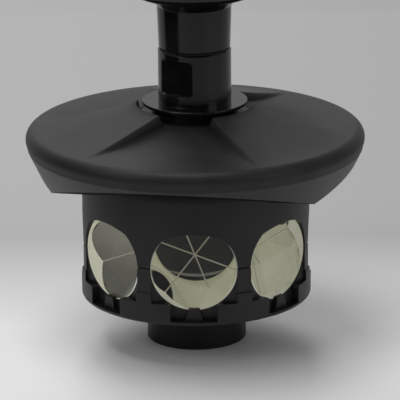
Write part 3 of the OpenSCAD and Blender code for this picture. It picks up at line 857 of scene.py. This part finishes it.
def corner_cube(name, turn, first_edge, finishes):
    """Round glass of radius GLASS_R: flat front, broken rim, cylinder side down to the back height, three
    mirror faces and three ground strips; turned about the upright axis to look out of its window."""
    half = math.asin(STRIP_W / 2 / GLASS_R)
    edges = first_edge + np.arange(3) * THIRD
    spans = edges[:, None] + half + np.linspace(0.0, THIRD - 2 * half, ARC_POINTS)[None, :]
    angle = spans.ravel()
    count = len(angle)
    x, y = GLASS_R * np.cos(angle), GLASS_R * np.sin(angle)
    front_r = 1 - RIM_BREAK / GLASS_R
    front = np.stack([x * front_r, y * front_r, np.full(count, GLASS_DEPTH)], axis=1)
    rim = np.stack([x, y, np.full(count, GLASS_DEPTH - RIM_BREAK)], axis=1)
    foot = np.stack([x, y, back_height(x, y, first_edge)], axis=1)
    middle = edges + THIRD / 2
    inner = STRIP_W / 2 / math.sin(THIRD / 2)
    corner_x, corner_y = inner * np.cos(middle), inner * np.sin(middle)
    corner = np.stack([corner_x, corner_y, back_height(corner_x, corner_y, first_edge)], axis=1)
    apex = np.array([[0.0, 0.0, back_height(np.zeros(1), np.zeros(1), first_edge)[0]]])
    points = np.concatenate([front, rim, foot, corner, apex])
    faces = [list(range(count))]
    slots = [FRONT]
    sides = np.array(grid_faces(3, count))[:, ::-1].tolist()
    faces += sides
    slots += [SIDE] * len(sides)
    foot_at, corner_at, apex_at = 2 * count, 3 * count, 3 * count + 3
    for k in range(3):
        arc = list(range(foot_at + k * ARC_POINTS, foot_at + (k + 1) * ARC_POINTS))
        faces.append([corner_at + k] + arc[::-1])
        slots.append(BACK)
        last = foot_at + ((k - 1) % 3 + 1) * ARC_POINTS - 1
        faces.append([apex_at, corner_at + k, arc[0], last, corner_at + (k - 1) % 3][::-1])
        slots.append(EDGE)
    points[:, 2] += FACE_R - GLASS_DEPTH
    tangent = np.array([math.cos(turn), math.sin(turn), 0.0])
    outward = np.array([math.sin(turn), -math.cos(turn), 0.0])
    upright = np.array([0.0, 0.0, 1.0])
    placed = points[:, :1] * tangent + points[:, 1:2] * upright + points[:, 2:] * outward
    placed[:, 2] += PRISM_Z
    made = add_object(name, placed, faces, smooth=False)
    for finish in finishes:
        made.data.materials.append(finish)
    made.data.polygons.foreach_set("material_index", np.array(slots, dtype=np.int32))
    return made


# %% [markdown]
# ## Seven corner cubes
# The cubes stand in the ring a seventh of a turn apart, each turned about its own axis. One cube could be
# copied seven times, but the three windows in view show three different turns, and those were fitted to the
# photograph; the other four are free choices. The ground side of the cube in the left window is brighter
# there, so it gets a stronger glow of painted light.

# %% Seven corner cubes
PRISM_STEP = 2 * math.pi / PRISMS
RING_TURN = math.radians(-1.3)
CUBE_TURNS = np.radians([-12.5, 24.0, -20.0, 20.0, -30.0, 30.0, -35.5])

for i in range(PRISMS):
    finishes = list(glass_finishes)
    if i == PRISMS - 1:
        finishes[SIDE] = lit_side
    glass = corner_cube(f"corner_cube_{i + 1}", RING_TURN + i * PRISM_STEP, CUBE_TURNS[i], finishes)
    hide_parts(f"prism_{i + 1}")
    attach(glass, "root")
print("corner cubes", PRISMS, "face radius", round(FACE_R / MM, 2), "mm")

# %% [markdown]
# ## Floor
# The object stands on a plain pale floor, without the room of the photograph. One even tone could do, but the
# ground of the photograph is lightest round the object and greyer behind it. So the tone fades softly with
# the distance from the object and towards the back: the pale ground round the object is a painted pool of
# light.

# %% Floor
FLOOR_HALF = 3.0
FLOOR_PALE, FLOOR_GREY = (0.88, 0.88, 0.88), (0.44, 0.44, 0.44)
FADE_AROUND = (0.07, 0.34)
FADE_BEHIND = (0.01, 0.10)


def floor_finish():
    """A pale floor that is lightest round the object, a painted pool of light, and softly greyer behind it
    and further away.
    """
    material, tree, shader = new_material("table_white")
    place = add_node(tree, "ShaderNodeTexCoord")
    reach = add_node(tree, "ShaderNodeVectorMath", operation="LENGTH")
    tree.links.new(place.outputs["Object"], reach.inputs[0])
    apart = add_node(tree, "ShaderNodeSeparateXYZ")
    tree.links.new(place.outputs["Object"], apart.inputs[0])
    fade = add_node(tree, "ShaderNodeMath", operation="MAXIMUM")
    tree.links.new(spread(tree, reach.outputs["Value"], 0.0, 1.0, *FADE_AROUND), fade.inputs[0])
    tree.links.new(spread(tree, apart.outputs["Y"], 0.0, 1.0, *FADE_BEHIND), fade.inputs[1])
    tone = blend_colours(tree, fade.outputs[0], FLOOR_PALE, FLOOR_GREY)
    tree.links.new(tone, shader.inputs["Base Color"])
    shader.inputs["Roughness"].default_value = 0.55
    return material


def flat_sheet(name, corners, material):
    """One flat quad of stage."""
    sheet = add_object(name, np.array(corners), [[0, 1, 2, 3]], smooth=False)
    sheet.data.materials.append(material)
    return sheet


def level(x0, y0, x1, y1, z):
    """Corners of a level sheet between two opposite corners."""
    return [(x0, y0, z), (x1, y0, z), (x1, y1, z), (x0, y1, z)]


flat_sheet("floor", level(-FLOOR_HALF, -FLOOR_HALF, FLOOR_HALF, FLOOR_HALF, 0), floor_finish())
print("floor", 2 * FLOOR_HALF, "m wide")

# %% [markdown]
# ## Light
# The photograph has soft, even light. A bright world alone would be softer still, but flat. So four large
# area lights stand round the object: one behind, which glances off the hood, one above, and one on either
# side in front. A dim grey world fills the shadows.

# %% Lights
WORLD_GREY = (0.22, 0.22, 0.22, 1.0)
world = bpy.data.worlds.new("soft_room")
world.use_nodes = True
world.node_tree.nodes["Background"].inputs["Color"].default_value = WORLD_GREY
world.node_tree.nodes["Background"].inputs["Strength"].default_value = 1.0
bpy.context.scene.world = world
bpy.context.scene.view_settings.view_transform = "Standard"


def soft_light(name, place, target, size, watts):
    """A square area light that looks at a point."""
    data = bpy.data.lights.new(name, "AREA")
    data.size = size
    data.energy = watts
    lamp = bpy.data.objects.new(name, data)
    aim = Vector(target) - Vector(place)
    lamp.matrix_world = Matrix.Translation(place) @ aim.to_track_quat("-Z", "Y").to_matrix().to_4x4()
    bpy.context.scene.collection.objects.link(lamp)
    print(name, watts, "W")


soft_light("key_light", (-0.25, 1.35, 0.95), (0, 0, 0.06), size=0.7, watts=6.4)
soft_light("top_light", (-0.35, -0.08, 1.6), (0, 0, 0.05), size=1.0, watts=11.6)
soft_light("left_light", (-1.2, -0.9, 1.0), (0, 0, 0.03), size=0.7, watts=4.4)
soft_light("right_light", (1.3, -1.0, 0.6), (0, 0, 0.03), size=1.2, watts=4.0)

# %% [markdown]
# ## Cards to mirror
# Black plastic, metal and silvered glass mostly show what stands round them. A picture of a room could be
# wrapped round the scene, but the room of the photograph is unknown. So plain cards that the camera does not
# see stand in for it. A dark one stands just behind the camera, because the corner cubes send straight back
# what is there. The others were placed by trying, until the mirrored tones came near the photograph's.

# %% Cards
CARD_Y, CARD_Z0, CARD_Z1 = -1.25, 0.1, 0.75
CARD_SPLIT = -0.055


def glow_card(name, corners, colour, glossy_only=False):
    """A card of even tone that the camera does not see, for the glass and the metal to mirror."""
    material, _, shader = new_material(name)
    shader.inputs["Base Color"].default_value = (0.0, 0.0, 0.0, 1.0)
    shader.inputs["Specular IOR Level"].default_value = 0.0
    shader.inputs["Emission Color"].default_value = (*colour, 1.0)
    shader.inputs["Emission Strength"].default_value = 1.0
    card = flat_sheet(name, corners, material)
    card.visible_camera = False
    card.visible_shadow = False
    card.visible_diffuse = not glossy_only
    card.visible_transmission = not glossy_only
    return card


def fade_across(card, direction, low, high, colour_low, colour_high):
    """Lets a card's tone change along a direction, between two distances from the origin."""
    tree = card.data.materials[0].node_tree
    place = add_node(tree, "ShaderNodeTexCoord")
    along = add_node(tree, "ShaderNodeVectorMath", operation="DOT_PRODUCT")
    along.inputs[1].default_value = direction
    tree.links.new(place.outputs["Object"], along.inputs[0])
    share = spread(tree, along.outputs["Value"], 0.0, 1.0, low, high)
    shader = tree.nodes["Principled BSDF"]
    tree.links.new(blend_colours(tree, share, colour_low, colour_high), shader.inputs["Emission Color"])


def upright(x0, y0, x1, y1, z0, z1):
    """Corners of a standing card above two points of the floor."""
    return [(x0, y0, z0), (x1, y1, z0), (x1, y1, z1), (x0, y0, z1)]


dark_side = upright(CARD_SPLIT, CARD_Y, 0.3, CARD_Y, CARD_Z0, CARD_Z1)
grey_side = upright(-0.5, CARD_Y, CARD_SPLIT, CARD_Y, CARD_Z0, CARD_Z1)
glow_card("dark_card", dark_side, (0.011, 0.011, 0.0115))
grey_card = glow_card("grey_card", grey_side, (0.085, 0.085, 0.088))
fade_across(
    grey_card, (1.0, 0.0, -0.6), low=-0.368, high=-0.340,
    colour_low=(0.058, 0.057, 0.050), colour_high=(0.160, 0.159, 0.142),
)
wall, left = upright(-0.6, 0.4, 0.6, 0.4, 0.0, 0.4), upright(-0.19, -0.16, -0.24, 0.065, 0.0, 0.2)
front, ceiling = upright(-1.1, -1.2, 1.1, -1.2, 0.0, 0.95), level(-2.0, -3.0, 2.0, -0.3, 1.75)
glow_card("wall_card", wall, (0.45, 0.45, 0.45), glossy_only=True)
glow_card("left_card", left, (0.017, 0.017, 0.017), glossy_only=True)
glow_card("front_card", front, (0.012, 0.012, 0.012), glossy_only=True)
glow_card("ceiling_card", ceiling, (0.03, 0.03, 0.03), glossy_only=True)
print("stage ready")
